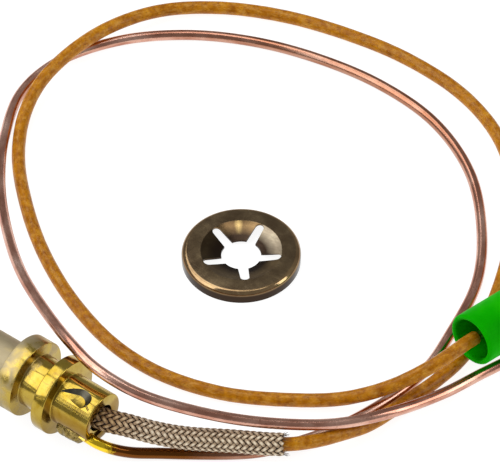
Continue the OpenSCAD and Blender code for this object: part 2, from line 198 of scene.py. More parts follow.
def carriedFrames(line):
    tangents = np.gradient(line, axis=0)
    tangents /= np.linalg.norm(tangents, axis=1)[:, None]
    side = np.cross([0, 0, 1.0], tangents[0])
    side /= np.linalg.norm(side)
    sides = []
    for tangent in tangents:
        side = side - tangent * (side @ tangent)
        side /= np.linalg.norm(side)
        sides.append(side)
    sides = np.array(sides)
    return tangents, sides, np.cross(tangents, sides)


def wrappedTube(bm, places, along, materialIndex=0, lifts=None):
    # places: rows of points round the line, one row for each step along it
    rows, sides = places.shape[:2]
    sheet = bmesh.new()
    uv = sheet.loops.layers.uv.new("along")
    liftUv = sheet.loops.layers.uv.new("lift") if lifts is not None else None
    bmesh.ops.create_grid(sheet, x_segments=rows - 1, y_segments=sides, size=0.5, calc_uvs=True)
    for vert in sheet.verts:
        i, k = round((vert.co.x + 0.5) * (rows - 1)), round((vert.co.y + 0.5) * sides)
        vert.co = places[i][k % sides] * mm
    for face in sheet.faces:
        face.material_index = materialIndex
        face.smooth = True
        for loop in face.loops:
            u, v = loop[uv].uv
            loop[uv].uv = (along[round(u * (rows - 1))], v)
            if liftUv:
                loop[liftUv].uv = (lifts[round(u * (rows - 1))], v)
    bmesh.ops.remove_doubles(sheet, verts=sheet.verts, dist=1e-8)
    ends = bmesh.ops.holes_fill(sheet, edges=[e for e in sheet.edges if e.is_boundary], sides=0)
    for face in ends["faces"]:
        face.smooth = False
        face.material_index = materialIndex
    bmesh.ops.recalc_face_normals(sheet, faces=sheet.faces)
    part = bpy.data.meshes.new("part")
    sheet.to_mesh(part)
    sheet.free()
    bm.from_mesh(part)
    bpy.data.meshes.remove(part)


def ringsAround(line, frames, radii, sides):
    # radii: one for each point of the line, or a row of them
    _, across, up = frames
    turns = np.arange(sides) / sides * 2 * math.pi
    if radii.ndim == 1:
        radii = radii[:, None]
    return (line[:, None, :] + (radii * np.cos(turns))[:, :, None] * across[:, None, :]
            + (radii * np.sin(turns))[:, :, None] * up[:, None, :])


def lumpSpot(x, turn, pitch):
    # where the noise is read for a point on a tube, so that lumps run on across the seam
    return Vector((x * pitch[0], math.cos(turn) * pitch[1], math.sin(turn) * pitch[1]))


def finishPiece(name, bm, materials, body, replaced=(), smooth=None):
    mesh = bpy.data.meshes.new(name)
    bm.to_mesh(mesh)
    bm.free()
    piece = bpy.data.objects.new(name, mesh)
    bpy.context.scene.collection.objects.link(piece)
    for material in materials:
        mesh.materials.append(material)
    if smooth is not None:
        mesh.shade_smooth()
        mesh.set_sharp_from_angle(angle=math.radians(smooth))
    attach(piece, body)
    if replaced:
        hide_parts(*replaced)
    return piece


# the two leads lie along these points, in millimetres
leadPoints = [
    (5.2, 0, 0), (13, 0, 0), (15.6, 1.2, -0.4), (18.6, 2.9, -1.3), (21.6, 4.8, -1.9),
    (26.1, 7.8, -2.1), (31.8, 11.3, -2), (34.2, 14.2, -2.4), (35.9, 17.7, -3.1), (37.2, 21.3, -3.9),
    (38.5, 27, -4.1), (39.6, 32.3, -4.1), (39.9, 38, -4.1), (37.9, 47, -4.1), (33.8, 57, -4.1),
    (28.9, 65, -4.1), (22.1, 71.6, -4.1), (13.6, 75.5, -4.1), (3.6, 76.7, -4.1), (-5.9, 75.7, -4.1),
    (-14.9, 73.3, -4.1), (-22.4, 69.3, -3.9), (-27.9, 63.8, -3.4), (-30.8, 57, -2.7), (-31.9, 50, -2.4),
    (-31.8, 43, -2.8), (-30.2, 37.5, -3.6), (-26.2, 31.3, -4.1), (-19.9, 25.2, -4.1), (-12.7, 19.9, -4.1),
    (-4.4, 15.6, -4.1), (4.1, 13, -4.1), (11.6, 12.7, -4.1), (19.6, 14.7, -4.1), (26.6, 18.5, -4),
    (32.6, 22.4, -3.2), (36.9, 26.4, -1.6), (39.6, 31, -0.3), (41.1, 36.5, 0.2), (41.45, 38.25, 0.06),
]
copperPoints = [
    (8.6, -2.2, -1.9), (12, -2.2, -1.9), (13.6, -2.1, -2.1), (15.1, -1.3, -2.8), (16.8, 0.3, -3.8),
    (19.1, 2.3, -4.2), (28.6, 9.7, -4.3), (31.9, 14.4, -4.3), (34.5, 19.5, -4.3), (36.6, 26.5, -4.3),
    (37.4, 33, -4.3), (36.4, 40, -4.3), (34.1, 49, -4.3), (29.1, 57.3, -4.3), (22.1, 64.6, -4.3),
    (13.1, 69.3, -4.3), (3.6, 70.7, -4.3), (-5.9, 69.8, -4.3), (-14.9, 67.2, -4.3), (-22.9, 62.8, -4.3),
    (-29.4, 56.5, -4.3), (-33.4, 48.5, -4.3), (-33.6, 41, -4.3), (-30, 33.2, -3.8), (-25, 26.2, -2.6),
    (-18.4, 19.2, -0.8), (-9.4, 11.6, 1.9), (-1.6, 7, 3.6), (5.1, 3.9, 4.8), (10, 2.6, 4.8),
    (16.1, 3.3, 3.7), (23.6, 7.4, 1.4), (29.6, 11.8, -0.1), (35.1, 17, -1.2), (38.6, 22.2, -1.9),
    (41.6, 30.8, -3.8), (43.6, 37.5, -4.3), (45.9, 42.7, -4.2), (49.6, 47, -3.9), (51.9, 49.6, -3.9),
]
# lumps: how fast the unevenness changes along the lead and round it
leadSizes = {"diameter": 1.75, "step": 0.4, "sides": 24, "unevenness": 0.0168, "lumps": (0.9, 0.7),
             "endRound": 0.45, "endShare": 0.72}
copperSizes = {"diameter": 1.4, "step": 0.4, "sides": 24, "unevenness": 0.0056, "lumps": (0.9, 0.7)}


def varnishFinish():
    material, tree, shader = startMaterial(
        "varnishedGlassFibre", metallic=0.0, coat_weight=0.1, coat_roughness=0.22, specular_ior_level=0.15)
    place = objectSpace(tree)
    streaks = noiseAt(tree, lengthSpace(tree, (0.7, 9, 1)), 1.0, 5, 0.7)
    mottle = noiseAt(tree, place, 0.9, 5, 0.62, 0.4)
    specks = noiseAt(tree, place, 4.2, 2, 0.5)
    body = rampOf(tree, mottle, [(0.3, (0.30, 0.090, 0.0)), (0.45, (0.42, 0.142, 0.0)),
                                 (0.58, (0.53, 0.198, 0.0)), (0.72, (0.64, 0.28, 0.008))])
    body = mixOf(tree, valueRange(tree, streaks, 0, 0.6, 0.48, 0.72), body, (0.80, 0.45, 0.10))
    body = mixOf(tree, valueRange(tree, specks, 0, 0.5, 0.6, 0.72), body, (0.16, 0.045, 0.002))
    braidPrint = noiseAt(tree, lengthSpace(tree, (2.6, 10, 1)), 1.0, 2, 0.5)
    joinUp(tree, shader, body, valueRange(tree, mottle, 0.28, 0.48, 0.3, 0.7),
           bumpOf(tree, braidPrint, 0.5, 0.07, bumpOf(tree, specks, 0.3, 0.04)))
    return material


# where the copper lead changes: station along it, and distance to the back, in millimetres
copperLook = {"goldTo": (6.2, 7.2), "dullTo": (16.0, 34.0), "brownFromY": (60, 74)}


def copperFinish():
    material, tree, shader = startMaterial("drawnCopper", metallic=1.0)
    place = objectSpace(tree)
    tarnish = noiseAt(tree, lengthSpace(tree, (0.16, 2.5, 1)), 1.0, 5, 0.6)
    drawn = noiseAt(tree, lengthSpace(tree, (0.1, 40, 1)), 1.0, 2, 0.5)
    specks = noiseAt(tree, place, 2.6, 4, 0.6)
    body = rampOf(tree, tarnish, [(0.28, (0.36, 0.14, 0.085)), (0.45, (0.56, 0.27, 0.19)),
                                  (0.6, (0.74, 0.44, 0.34)), (0.75, (0.86, 0.58, 0.48))])
    body = mixOf(tree, valueRange(tree, specks, 0, 0.6, 0.58, 0.75), body, (0.24, 0.085, 0.045))
    edge = mathOf(tree, "ADD", splitOf(tree, lengthSpace(tree))["X"],
                  valueRange(tree, specks, -0.7, 0.7, 0.3, 0.7))
    body = mixOf(tree, valueRange(tree, edge, 1, 0, *copperLook["dullTo"]), body, (0.17, 0.055, 0.010))
    brown = valueRange(tree, splitOf(tree, place)["Y"], 0, 0.75, *copperLook["brownFromY"])
    body = mixOf(tree, brown, body, (0.26, 0.095, 0.03))
    # the braze has run a little way along the lead
    body = mixOf(tree, valueRange(tree, edge, 1, 0, *copperLook["goldTo"]), body, (0.95, 0.66, 0.035))
    joinUp(tree, shader, body, valueRange(tree, tarnish, 0.13, 0.28, 0.3, 0.7),
           bumpOf(tree, drawn, 0.12, 0.02, bumpOf(tree, specks, 0.15, 0.03)))
    return material


varnish = varnishFinish()
copper = copperFinish()


def layLead(name, points, sizes, material, node, roundedEnd=False):
    radius = sizes["diameter"] / 2
    line, along = smoothLine(points, sizes["step"], radius)
    frames = carriedFrames(line)
    seed = Vector((len(name) * 3.1, 7.7, 1.3))
    turns = np.arange(sizes["sides"]) / sizes["sides"] * 2 * math.pi
    radii = np.empty((len(line), sizes["sides"]))
    for i, s in enumerate(along):
        for k, turn in enumerate(turns):
            lump = noise.noise(lumpSpot(s, turn, sizes["lumps"]) + seed)
            radii[i, k] = radius * (1 + sizes["unevenness"] * lump)
    if roundedEnd:
        for i, left in enumerate(along[-1] - along):
            if left < sizes["endRound"]:
                swell = math.sqrt(max(0.0, 1 - (1 - left / sizes["endRound"]) ** 2))
                radii[i] *= sizes["endShare"] + (1 - sizes["endShare"]) * swell
    bm = bmesh.new()
    wrappedTube(bm, ringsAround(line, frames, radii, sizes["sides"]), along)
    piece = finishPiece(name, bm, [material], "thermocouple", [node])
    return piece, line, along, frames


insulatedLead, leadLine, leadAlong, leadFrames = layLead(
    "insulatedLead", leadPoints, leadSizes, varnish, "insulated_lead", roundedEnd=True)
copperLead, copperLine, copperAlong, _ = layLead(
    "copperLead", copperPoints, copperSizes, copper, "bare_copper_lead")
print("leads laid", round(leadAlong[-1], 1), round(copperAlong[-1], 1))


# glass-fibre braid over the first stretch of the insulated lead
braidSizes = {
    "start": 3.2, "end": 30.0, "middle": 1.21, "weave": 0.13, "weaveSharp": 1.3, "yarns": 12, "pitch": 9.6,
    "yarnWidth": 0.42, "yarnThick": 0.22, "yarnSides": 8, "yarnTrim": 0.22, "step": 0.1,
    "shadeLayer": 1.05, "shadeLayerSides": 20, "shadeLayerShort": 0.25,
    "crownSpread": 0.12, "waver": 0.05, "brownerTo": (9.0, 13.0),
}
# loose filaments at the cut end
straySizes = {"count": 34, "reach": (0.25, 0.9), "root": 0.3, "flare": 0.32, "lean": 0.35, "rise": 0.06,
              "radius": 0.035, "taper": 0.5, "sides": 5, "rings": 7, "floorGap": 0.05}


def braidFinish():
    material, tree, shader = startMaterial(
        "glassFibreYarn", metallic=0.0, sheen_weight=0.1, sheen_roughness=0.4)
    filaments = noiseAt(tree, lengthSpace(tree, (0.35, 11, 1)), 1.0, 2, 0.6)
    patches = noiseAt(tree, objectSpace(tree), 0.55, 4, 0.6)
    body = rampOf(tree, patches, [(0.32, (0.34, 0.22, 0.125)), (0.5, (0.45, 0.315, 0.19)),
                                  (0.7, (0.56, 0.41, 0.26))])
    body = mixOf(tree, valueRange(tree, filaments, 0, 0.5, 0.4, 0.75), body, (0.67, 0.51, 0.34))
    # painted highlight on the crown of each crossing, painted shade where a yarn dives under the others and
    # along the edges of each yarn
    yarn = splitOf(tree, lengthSpace(tree))
    outer = mathOf(tree, "SINE", valueRange(tree, yarn["Y"], 0, 2 * math.pi))
    lift = splitOf(tree, addNode(tree, "UVMap", uv_map="lift").outputs["UV"])["X"]
    crownShading = mathOf(tree, "MULTIPLY", valueRange(tree, outer, 0, 1, 0.1, 0.95),
                   valueRange(tree, lift, 0, 1, -0.1, 0.95))
    body = mixOf(tree, valueRange(tree, crownShading, 0, 1, 0.0, 0.32), (0.075, 0.038, 0.016), body)
    body = mixOf(tree, valueRange(tree, crownShading, 0, 0.9, 0.7, 1.0), body, (0.92, 0.80, 0.60))
    # browner for the first few millimetres out of the head
    browner = valueRange(tree, yarn["X"], 1, 0, *braidSizes["brownerTo"])
    body = mixOf(tree, browner, body, mixOf(tree, 1.0, body, (0.62, 0.48, 0.30), "MULTIPLY"))
    joinUp(tree, shader, body, valueRange(tree, filaments, 0.35, 0.6), bumpOf(tree, filaments, 0.6, 0.03))
    return material


def layYarn(bm, k, way, kept, steps, line, across, up):
    # yarn k of one of the two sets, way 1 or -1 round the lead, over two and under two
    b = braidSizes
    theta = 2 * math.pi * (k / b["yarns"] + way * steps / b["pitch"])
    crossing = steps * 2 * b["yarns"] / b["pitch"]
    lift = way * np.cos(2 * math.pi * (2 * k + way * crossing - 0.5) / 4)
    height = b["middle"] + b["weave"] * np.tanh(b["weaveSharp"] * lift) / math.tanh(b["weaveSharp"])
    spread = 1 + b["crownSpread"] * lift + b["waver"] * np.sin(steps * 1.7 + k * 2.1)
    radial = across * np.cos(theta)[:, None] + up * np.sin(theta)[:, None]
    centre = line + radial * height[:, None]
    heading = np.gradient(centre, axis=0)
    heading /= np.linalg.norm(heading, axis=1)[:, None]
    flat = np.cross(heading, radial)
    flat /= np.linalg.norm(flat, axis=1)[:, None]
    turns = np.arange(b["yarnSides"]) / b["yarnSides"] * 2 * math.pi
    rings = (centre[:, None, :]
             + (np.cos(turns) * b["yarnWidth"] / 2)[None, :, None] * flat[:, None, :] * spread[:, None, None]
             + (np.sin(turns) * b["yarnThick"] / 2)[None, :, None] * radial[:, None, :])
    wrappedTube(bm, rings[kept], steps[kept], lifts=lift[kept])


def addStray(bm, end, tangent, across, up):
    s = straySizes
    theta = random.uniform(0, 2 * math.pi)
    reach = random.uniform(*s["reach"])
    radial = across * math.cos(theta) + up * math.sin(theta)
    sideways = np.cross(radial, tangent)
    flare, lean = random.uniform(0.0, s["flare"]), random.uniform(-s["lean"], s["lean"])
    t = np.linspace(0, 1, s["rings"])[:, None]
    out = braidSizes["middle"] + random.uniform(-s["rise"], s["rise"])
    hair = (end + radial * out - tangent * s["root"] + tangent * t * (reach + s["root"])
            + radial * flare * t**2 + sideways * lean * t**2)
    hair[:, 2] = np.maximum(hair[:, 2], floorZ + s["floorGap"])
    radii = s["radius"] * (1 - s["taper"] * t[:, 0])
    wrappedTube(bm, ringsAround(hair, carriedFrames(hair), radii, s["sides"]), t[:, 0] * reach)


def weaveBraid():
    b = braidSizes
    steps = np.arange(b["start"], b["end"], b["step"])
    line, tangent, across, up = (
        np.stack([np.interp(steps, leadAlong, values[:, k]) for k in range(3)], 1)
        for values in (leadLine, *leadFrames))
    bm = bmesh.new()
    bm.loops.layers.uv.new("along")
    bm.loops.layers.uv.new("lift")
    random.seed(11)
    for way in (1, -1):
        for k in range(b["yarns"]):
            kept = steps < b["end"] - random.uniform(0, b["yarnTrim"])
            layYarn(bm, k, way, kept, steps, line, across, up)
    # a near-black tube under the yarns: painted shade that shows in the gaps between them
    inner = steps < b["end"] - b["shadeLayerShort"]
    rings = ringsAround(line, (tangent, across, up), np.full(len(line), b["shadeLayer"]), b["shadeLayerSides"])
    wrappedTube(bm, rings[inner], steps[inner], materialIndex=1)
    for _ in range(straySizes["count"]):
        addStray(bm, line[-1], tangent[-1], across[-1], up[-1])
    shadeLayer = plainFinish("braidShadeLayer", (0.03, 0.018, 0.01), (0.07, 0.045, 0.03), 5.0, (0.7, 0.9), 0.0, 0.0,
                          detail=3, spread=(0, 1))
    return finishPiece("glassFibreBraid", bm, [braidFinish(), shadeLayer], "thermocouple",
                       ["braided_sleeve"])


glassFibreBraid = weaveBraid()
print("braid woven", len(glassFibreBraid.data.polygons))


# turned pieces
def latheSolid(profile, steps):
    # profile: radius and station along +X, in millimetres, closed on itself
    bm = bmesh.new()
    verts = [bm.verts.new((x * mm, 0, r * mm)) for r, x in profile]
    edges = [bm.edges.new(pair) for pair in zip(verts, verts[1:] + verts[:1])]
    bmesh.ops.spin(bm, geom=verts + edges, cent=(0, 0, 0), axis=(1, 0, 0), angle=2 * math.pi,
                   steps=steps, use_merge=True)
    bmesh.ops.remove_doubles(bm, verts=bm.verts, dist=1e-7)
    bmesh.ops.recalc_face_normals(bm, faces=bm.faces)
    return bm


def roundEdges(bm, width, segments, sharpFrom):
    sharp = [e for e in bm.edges if len(e.link_faces) == 2 and e.calc_face_angle(0) > math.radians(sharpFrom)]
    bmesh.ops.bevel(bm, geom=sharp, offset=width * mm, offset_type="OFFSET", affect="EDGES",
                    segments=segments, profile=0.5, material=-1, clamp_overlap=True)
    bmesh.ops.remove_doubles(bm, verts=bm.verts, dist=1e-7)


def scratchObject(name, bm):
    mesh = bpy.data.meshes.new(name)
    bm.to_mesh(mesh)
    bm.free()
    made = bpy.data.objects.new(name, mesh)
    bpy.context.scene.collection.objects.link(made)
    return made


def cutShape(bm, cutters):
    # cutters: scratch objects taken out of bm, one after another
    body = scratchObject("cutBody", bm)
    for cutter in cutters:
        step = body.modifiers.new("cut", "BOOLEAN")
        step.object = cutter
        step.operation = "DIFFERENCE"
        step.solver = "EXACT"
    evaluated = body.evaluated_get(bpy.context.evaluated_depsgraph_get())
    mesh = bpy.data.meshes.new_from_object(evaluated)
    result = bmesh.new()
    result.from_mesh(mesh)
    for made in [body] + cutters:
        data = made.data
        bpy.data.objects.remove(made)
        bpy.data.meshes.remove(data)
    bpy.data.meshes.remove(mesh)
    return result


alongX = Matrix.Rotation(math.pi / 2, 4, "Y")  # turns a bar from Z to X


def roundBar(radius, length, matrix, segments=64):
    bm = bmesh.new()
    bmesh.ops.create_cone(bm, cap_ends=True, segments=segments, radius1=radius * mm, radius2=radius * mm,
                          depth=length * mm, matrix=matrix)
    return bm


# millimetres: satin up to the seat, tarnish and painted shade behind it except on top, painted shade
# underneath
brassLook = {"tone": (0.46, 0.325, 0.055), "rough": 0.13, "satinTo": (-0.8, 3.0), "tarnishShadeFrom": (7.0, 8.0),
             "tarnishShadeBelow": (0.9, 1.7), "shadedBelow": (-2.6, 1.2)}


def brassFinish():
    look = brassLook
    material, tree, shader = startMaterial("turnedBrass", metallic=1.0)
    turning = noiseAt(tree, objectSpace(tree, (22000, 260, 260)), 1.0, 2, 0.55)
    bands = noiseAt(tree, objectSpace(tree, (1800, 60, 60)), 1.0, 3, 0.6)
    cloud = noiseAt(tree, objectSpace(tree), 0.5, 4, 0.6, 0.5)
    stains = noiseAt(tree, objectSpace(tree, (700, 1500, 1500)), 1.0, 4, 0.65, 1.2)
    deep = tuple(c * f for c, f in zip(look["tone"], (0.85, 0.78, 0.4)))
    pale = tuple(c * f for c, f in zip(look["tone"], (1.12, 1.16, 1.5)))
    body = rampOf(tree, cloud, [(0.3, deep), (0.5, look["tone"]), (0.72, pale)])
    body = mixOf(tree, valueRange(tree, stains, 0, 0.55, 0.56, 0.74), body, (0.27, 0.15, 0.06))
    body = mixOf(tree, valueRange(tree, turning, 0, 0.3, 0.45, 0.8), body, deep)
    roughness = valueRange(tree, bands, look["rough"] * 0.7, look["rough"] * 1.6, 0.3, 0.7)
    place = splitOf(tree, objectSpace(tree))
    # tarnish behind the rear flange; kept to the lower part, it is painted shade as well
    tarnishAndShade = mathOf(tree, "MULTIPLY", valueRange(tree, place["X"], 0, 1, *look["tarnishShadeFrom"]),
                     valueRange(tree, place["Z"], 1, 0, *look["tarnishShadeBelow"]))
    body = mixOf(tree, tarnishAndShade, body, mixOf(tree, 1.0, body, (0.72, 0.62, 0.55), "MULTIPLY"))
    wander = mathOf(tree, "ADD", place["X"], valueRange(tree, cloud, -2.0, 2.0, 0.3, 0.7))
    satin = valueRange(tree, wander, 1, 0, *look["satinTo"])
    body = mixOf(tree, satin, body, mixOf(tree, stains, (0.42, 0.34, 0.20), (0.52, 0.45, 0.30)))
    roughness = mixOf(tree, satin, roughness, (0.6, 0.6, 0.6))
    # painted shade: darker underneath
    body = mixOf(tree, valueRange(tree, place["Z"], 1, 0, *look["shadedBelow"]), body,
                 mixOf(tree, 1.0, body, (0.60, 0.55, 0.36), "MULTIPLY"))
    joinUp(tree, shader, body, roughness,
           bumpOf(tree, turning, 0.5, 0.012, bumpOf(tree, cloud, 0.05, 0.25)))
    return material


# brass head, on the row's X axis
headSizes = {
    "frontX": -15.0, "spigotX": -9.0, "seatX": 0.0, "hubX": 2.4, "rearFlangeX": 5.6, "rearX": 7.3,
    "endX": 12.8, "sheathTailX": -9.5, "sheathR": 2.02, "spigotR": 2.6, "barrelR": 3.1, "flangeR": 5.0,
    "hubR": 3.45, "rearR": 3.3, "boreR": 1.8, "edge": 0.16, "cutEdge": 0.06, "steps": 144,
    "stake": (-2.2, -1.9), "wireHoleR": 0.76, "wireHoleX": 12.6, "wireHoleLength": 8.0,
    "lugX": 11.5, "slotW": 1.9, "slotLength": 4, "slotDepth": 8.0,
    "pocketShift": 0.8, "pocketTurn": -60, "pocketDepth": 0.6,
    "nick": ((10.5, 17), (12.2, 34)), "nickR": 0.12,  # station, and degrees round from the top
}
# the scoop that crimps the rear barrel: ends of its floor as x and y, and how its wall and floor slope
crimpSizes = {"ends": ((10.15, -1.65), (7.4, -2.9)), "radius": 1.1, "depth": 0.35, "lean": 6, "wall": 2.0,
              "start": 7.55, "sides": 64}
# how far inside the head's outline a face has to be to count as bore, slot, pocket or scoop
faceMargins = {"boreWall": 0.05, "boreMouth": 0.25, "slotWall": 0.3, "slotMouth": 0.08,
               "pocketWall": 0.2, "pocketMouth": 0.04, "pocketFloor": 0.02,
               "scoopWall": 0.04, "scoopStart": 0.02, "scoopHeight": 1.5}
stakeAngle = math.degrees(math.atan2(headSizes["stake"][0], -headSizes["stake"][1]))


def wireBar(radius):
    # along the hole that the copper lead is staked in
    h = headSizes
    middle = Vector((h["wireHoleX"], *h["stake"])) * mm
    return roundBar(radius, h["wireHoleLength"], Matrix.Translation(middle) @ alongX)


def openSlot():
    # from the axis out past the stake, at the head's rear end
    h = headSizes
    slot = bmesh.new()
    bmesh.ops.create_cube(
        slot, size=1.0, matrix=Matrix.Rotation(math.radians(stakeAngle), 4, "X")
        @ Matrix.Translation(Vector((h["lugX"] + h["slotLength"] / 2, 0, -h["slotDepth"] / 2)) * mm)
        @ Matrix.Diagonal(Vector((h["slotLength"], h["slotW"], h["slotDepth"])) * mm).to_4x4())
    return slot


def crimpPunch():
    # two cones and all between them: a flat floor and a sloping wall, cut off behind the rear flange
    h, c = headSizes, crimpSizes
    punch = bmesh.new()
    lean = (Matrix.Translation(Vector((h["rearX"], 0, h["rearR"] - c["depth"])))
            @ Matrix.Rotation(math.radians(c["lean"]), 4, "Y"))
    for x, y in c["ends"]:
        for rise in (0, c["wall"]):
            for k in range(c["sides"]):
                angle = math.tau * k / c["sides"]
                spot = Vector((x - h["rearX"] + (c["radius"] + rise) * math.cos(angle),
                               y + (c["radius"] + rise) * math.sin(angle), rise))
                punch.verts.new(lean @ spot * mm)
    bmesh.ops.convex_hull(punch, input=punch.verts[:])
    bmesh.ops.delete(punch, geom=[v for v in punch.verts if not v.link_faces], context="VERTS")
    bmesh.ops.dissolve_limit(punch, angle_limit=math.radians(1), verts=punch.verts[:], edges=punch.edges[:])
    bmesh.ops.bisect_plane(punch, geom=punch.verts[:] + punch.edges[:] + punch.faces[:],
                           plane_co=(c["start"] * mm, 0, 0), plane_no=(1, 0, 0), clear_inner=True)
    bmesh.ops.holes_fill(punch, edges=[e for e in punch.edges if e.is_boundary], sides=0)
    return punch


def mouthPocket():
    # a shallow step off centre in the bore's mouth
    h = headSizes
    shift = Matrix.Rotation(math.radians(h["pocketTurn"]), 4, "X") @ Vector((0, 0, -h["pocketShift"]))
    place = Matrix.Translation((Vector((h["endX"], 0, 0)) + shift) * mm)
    return roundBar(h["boreR"], 2 * h["pocketDepth"], place @ alongX)


def nickBar():
    h = headSizes
    start, end = (Vector((x, -h["rearR"] * math.sin(math.radians(a)), h["rearR"] * math.cos(math.radians(a))))
                  for x, a in h["nick"])
    turn = (end - start).to_track_quat("Z", "Y").to_matrix().to_4x4()
    return roundBar(h["nickR"], (end - start).length, Matrix.Translation((start + end) / 2 * mm) @ turn, 16)


def headSkin(face):
    # 0 is the turned brass, 1 the bore with its slot and pocket in painted shade, 2 the scoop's wall in
    # painted shade
    h, f = headSizes, faceMargins
    x, y, z = face.calc_center_median() / mm
    radius = math.hypot(y, z)
    inBore = radius < h["boreR"] + f["boreWall"] and x < h["endX"] - f["boreMouth"]
    inSlot = h["lugX"] < x < h["endX"] - f["slotMouth"] and radius < h["rearR"] - f["slotWall"]
    inPocket = (h["endX"] - h["pocketDepth"] - f["pocketFloor"] < x < h["endX"] - f["pocketMouth"]
                and radius < h["rearR"] - f["pocketWall"])
    if x > h["frontX"] + 1 and (inBore or inSlot or inPocket):
        return 1
    inScoop = (crimpSizes["start"] + f["scoopStart"] < x < h["lugX"] + 1
               and radius < h["rearR"] - f["scoopWall"] and z > f["scoopHeight"])
    return 2 if inScoop and face.normal.z < 0.9 else 0


def turnHead():
    h = headSizes
    profile = [
        (h["sheathR"], h["frontX"]), (h["spigotR"], h["frontX"]), (h["spigotR"], h["spigotX"]),
        (h["barrelR"], h["spigotX"]), (h["barrelR"], h["seatX"]), (h["flangeR"], h["seatX"]),
        (h["flangeR"], h["hubX"]), (h["hubR"], h["hubX"]), (h["hubR"], h["rearFlangeX"]),
        (h["flangeR"], h["rearFlangeX"]), (h["flangeR"], h["rearX"]), (h["rearR"], h["rearX"]),
        (h["rearR"], h["endX"]), (h["boreR"], h["endX"]), (h["boreR"], h["sheathTailX"]),
        (h["sheathR"], h["sheathTailX"]),
    ]
    bm = latheSolid(profile, h["steps"])
    roundEdges(bm, h["edge"], 3, 40)
    bm = cutShape(bm, [scratchObject("wireHole", wireBar(h["wireHoleR"])),
                       scratchObject("mouthPocket", mouthPocket()), scratchObject("nick", nickBar()),
                       scratchObject("openSlot", openSlot()), scratchObject("punch", crimpPunch())])
    bmesh.ops.remove_doubles(bm, verts=bm.verts, dist=5e-7)
    roundEdges(bm, h["cutEdge"], 2, 42)
    for face in bm.faces:
        face.material_index = headSkin(face)
    # near-black brass in the bore and dark grey on the scoop's wall: painted shade
    boreShadeFinish = plainFinish("boreShadedBrass", (0.05, 0.032, 0.008), (0.14, 0.09, 0.03), 1.5, (0.35, 0.5), 1.0, 0.3)
    scoopShadeFinish = plainFinish("scoopShadedBrass", (0.055, 0.050, 0.036), (0.13, 0.12, 0.09), 1.2, (0.3, 0.45),
                          1.0, 0.15)
    return finishPiece("turnedHead", bm, [brassFinish(), boreShadeFinish, scoopShadeFinish], "thermocouple",
                       ["head_body"], smooth=30)


turnedHead = turnHead()
print("head turned", len(turnedHead.data.polygons))


# the brass pushed up round the copper lead; lumps: scale and share of each layer of noise
lugSizes = {
    "start": 8.3, "end": 11.55, "radius": 1.27, "rough": 0.16, "lumps": ((1.0, 1.0), (2.7, 0.5)),
    "lumpPitch": (1.1, 1.5), "rows": 30, "sides": 40, "endRound": 0.35, "endShare": 0.8, "holeR": 0.74,
    "barrelGap": 0.25, "barrelX": 9.0, "barrelLength": 12.0,
}


def stakedFinish():
    material, tree, shader = startMaterial("stakedBrass", metallic=1.0)
    coarse = noiseAt(tree, objectSpace(tree), 2.4, 6, 0.7, 0.6)
    body = rampOf(tree, coarse, [
        (0.32, (0.05, 0.034, 0.010)), (0.5, (0.24, 0.17, 0.05)), (0.68, (0.46, 0.34, 0.11))])
    joinUp(tree, shader, body, valueRange(tree, coarse, 0.16, 0.36, 0.3, 0.7),
           bumpOf(tree, coarse, 0.45, 0.1))
    return material


def stakeLug():
    s = lugSizes
    y, z = headSizes["stake"]
    stations = np.linspace(s["start"], s["end"], s["rows"])
    line = np.stack([stations, np.full(s["rows"], y), np.full(s["rows"], z)], 1)
    radii = np.empty((s["rows"], s["sides"]))
    for i, x in enumerate(stations):
        swell = math.sqrt(max(0.0, min(1.0, (s["end"] - x) / s["endRound"])))
        for k, turn in enumerate(np.arange(s["sides"]) / s["sides"] * 2 * math.pi):
            spot = lumpSpot(x, turn, s["lumpPitch"])
            lump = sum(noise.noise(spot * scale) * share for scale, share in s["lumps"])
            radii[i, k] = s["radius"] * (1 + s["rough"] * lump)
        radii[i] *= s["endShare"] + (1 - s["endShare"]) * swell
    bm = bmesh.new()
    wrappedTube(bm, ringsAround(line, carriedFrames(line), radii, s["sides"]), stations)
    # clear of the lead, and of the inside of the rear barrel
    barrel = roundBar(headSizes["rearR"] - s["barrelGap"], s["barrelLength"],
                      alongX @ Matrix.Translation((0, 0, s["barrelX"] * mm)))
    bm = cutShape(bm, [scratchObject("lugHole", wireBar(s["holeR"])), scratchObject("lugBore", barrel)])
    return finishPiece("stakedLug", bm, [stakedFinish()], "thermocouple", smooth=38)


stakedLug = stakeLug()
print("lug staked", len(stakedLug.data.polygons))


# hot probe; its braze is shared with the slot round the copper lead
probeSizes = {
    "tipX": -37.0, "tailX": -9.6, "radius": 2.0, "wall": 0.4, "openAngle": 0.31, "innerShare": 0.8,
    "innerShift": 0.42, "beadR": 0.68, "beadStretch": 1.18, "beadLumps": 0.05, "fillet": 0.5,
    "filletTuck": 0.2, "filletLumps": 0.06,
}
braze = plainFinish("flowedBraze", (0.46, 0.31, 0.05), (0.74, 0.54, 0.14), 1.8, (0.15, 0.35), 1.0, 0.4,
                    depth=0.08, spread=(0, 1))


def tintedSheathFinish():
    material, tree, shader = startMaterial("heatTintedSheath", metallic=1.0)
    place = objectSpace(tree)
    cloud = noiseAt(tree, place, 0.6, 4, 0.6)
    drawn = noiseAt(tree, objectSpace(tree, (300, 9000, 9000)), 1.0, 2, 0.5)
    wander = mathOf(tree, "ADD", splitOf(tree, place)["X"], valueRange(tree, cloud, -1.5, 1.5, 0.3, 0.7))
    heat = valueRange(tree, wander, 0, 1, probeSizes["tipX"], headSizes["frontX"])
    body = rampOf(tree, heat, [
        (0.0, (0.17, 0.15, 0.14)), (0.14, (0.24, 0.20, 0.20)), (0.24, (0.20, 0.21, 0.30)),
        (0.34, (0.33, 0.25, 0.26)), (0.46, (0.50, 0.40, 0.27)), (0.62, (0.52, 0.49, 0.45)),
        (1.0, (0.56, 0.54, 0.51))])
    joinUp(tree, shader, body, valueRange(tree, cloud, 0.24, 0.42, 0.3, 0.7), bumpOf(tree, drawn, 0.12, 0.02))
    return material


